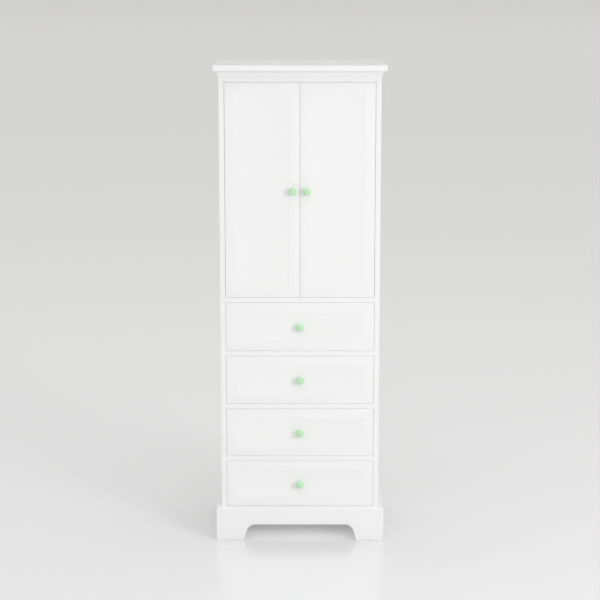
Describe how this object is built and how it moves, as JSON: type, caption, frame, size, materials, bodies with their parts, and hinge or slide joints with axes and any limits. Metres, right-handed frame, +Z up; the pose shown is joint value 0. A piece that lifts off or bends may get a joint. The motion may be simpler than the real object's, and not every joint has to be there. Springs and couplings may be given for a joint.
{
  "type": "apothecary cabinet",
  "caption": "Tall white cabinet with a pair of panelled doors over a stack of drawers, mint knobs, cove cornice and arched plinth.",
  "frame": {"origin": "on the floor, under the middle of the footprint of the top board and the plinth", "axes": "+Z up, doors and drawers face -Y, +X to the right of someone facing the doors"},
  "size_m": [0.612, 0.44, 1.73],
  "materials": {
    "white_paint": "satin white paint on fibreboard",
    "liner_board": "white faced board",
    "thin_board": "white faced hardboard",
    "mint_paint": "satin mint green paint on turned wood",
    "slide_steel": "bright zinc plate",
    "hinge_steel": "nickel plate"
  },
  "bodies": {
    "carcass": {"left_side_panel": "white_paint", "right_side_panel": "white_paint", "plinth_front": "white_paint", "plinth_left": "white_paint", "plinth_right": "white_paint", "base_board": "white_paint", "middle_shelf": "white_paint", "top_rail": "white_paint", "top_board": "white_paint", "cornice_moulding": "white_paint", "drawer_rail_1": "white_paint", "drawer_rail_2": "white_paint", "drawer_rail_3": "white_paint", "back_panel": "thin_board", "adjustable_shelf_1": "liner_board", "adjustable_shelf_2": "liner_board", "slide_1_left_channel": "slide_steel", "slide_1_right_channel": "slide_steel", "slide_2_left_channel": "slide_steel", "slide_2_right_channel": "slide_steel", "slide_3_left_channel": "slide_steel", "slide_3_right_channel": "slide_steel", "slide_4_left_channel": "slide_steel", "slide_4_right_channel": "slide_steel", "hinge_left_upper_frame_leaf": "hinge_steel", "hinge_left_lower_frame_leaf": "hinge_steel", "hinge_right_upper_frame_leaf": "hinge_steel", "hinge_right_lower_frame_leaf": "hinge_steel"},
    "door_left": {"door_left_panel": "white_paint", "door_left_knob": "mint_paint", "hinge_left_upper_door_leaf": "hinge_steel", "hinge_left_lower_door_leaf": "hinge_steel"},
    "door_right": {"door_right_panel": "white_paint", "door_right_knob": "mint_paint", "hinge_right_upper_door_leaf": "hinge_steel", "hinge_right_lower_door_leaf": "hinge_steel"},
    "drawer_1": {"drawer_1_front": "white_paint", "drawer_1_side_left": "liner_board", "drawer_1_side_right": "liner_board", "drawer_1_back": "liner_board", "drawer_1_bottom": "thin_board", "drawer_1_knob": "mint_paint"},
    "drawer_2": {"drawer_2_front": "white_paint", "drawer_2_side_left": "liner_board", "drawer_2_side_right": "liner_board", "drawer_2_back": "liner_board", "drawer_2_bottom": "thin_board", "drawer_2_knob": "mint_paint"},
    "drawer_3": {"drawer_3_front": "white_paint", "drawer_3_side_left": "liner_board", "drawer_3_side_right": "liner_board", "drawer_3_back": "liner_board", "drawer_3_bottom": "thin_board", "drawer_3_knob": "mint_paint"},
    "drawer_4": {"drawer_4_front": "white_paint", "drawer_4_side_left": "liner_board", "drawer_4_side_right": "liner_board", "drawer_4_back": "liner_board", "drawer_4_bottom": "thin_board", "drawer_4_knob": "mint_paint"}
  },
  "joints": [
    {"name": "door_left_hinge", "type": "hinge", "parent": "carcass", "child": "door_left", "pos_m": [-0.243, -0.1795, 1.2855], "axis": [0, 0, -1], "range_deg": [0, 110]},
    {"name": "door_right_hinge", "type": "hinge", "parent": "carcass", "child": "door_right", "pos_m": [0.243, -0.1795, 1.2855], "axis": [0, 0, 1], "range_deg": [0, 110]},
    {"name": "drawer_1_slide", "type": "slide", "parent": "carcass", "child": "drawer_1", "axis": [0, -1, 0], "range_m": [0, 0.265]},
    {"name": "drawer_2_slide", "type": "slide", "parent": "carcass", "child": "drawer_2", "axis": [0, -1, 0], "range_m": [0, 0.265]},
    {"name": "drawer_3_slide", "type": "slide", "parent": "carcass", "child": "drawer_3", "axis": [0, -1, 0], "range_m": [0, 0.265]},
    {"name": "drawer_4_slide", "type": "slide", "parent": "carcass", "child": "drawer_4", "axis": [0, -1, 0], "range_m": [0, 0.265]}
  ]
}
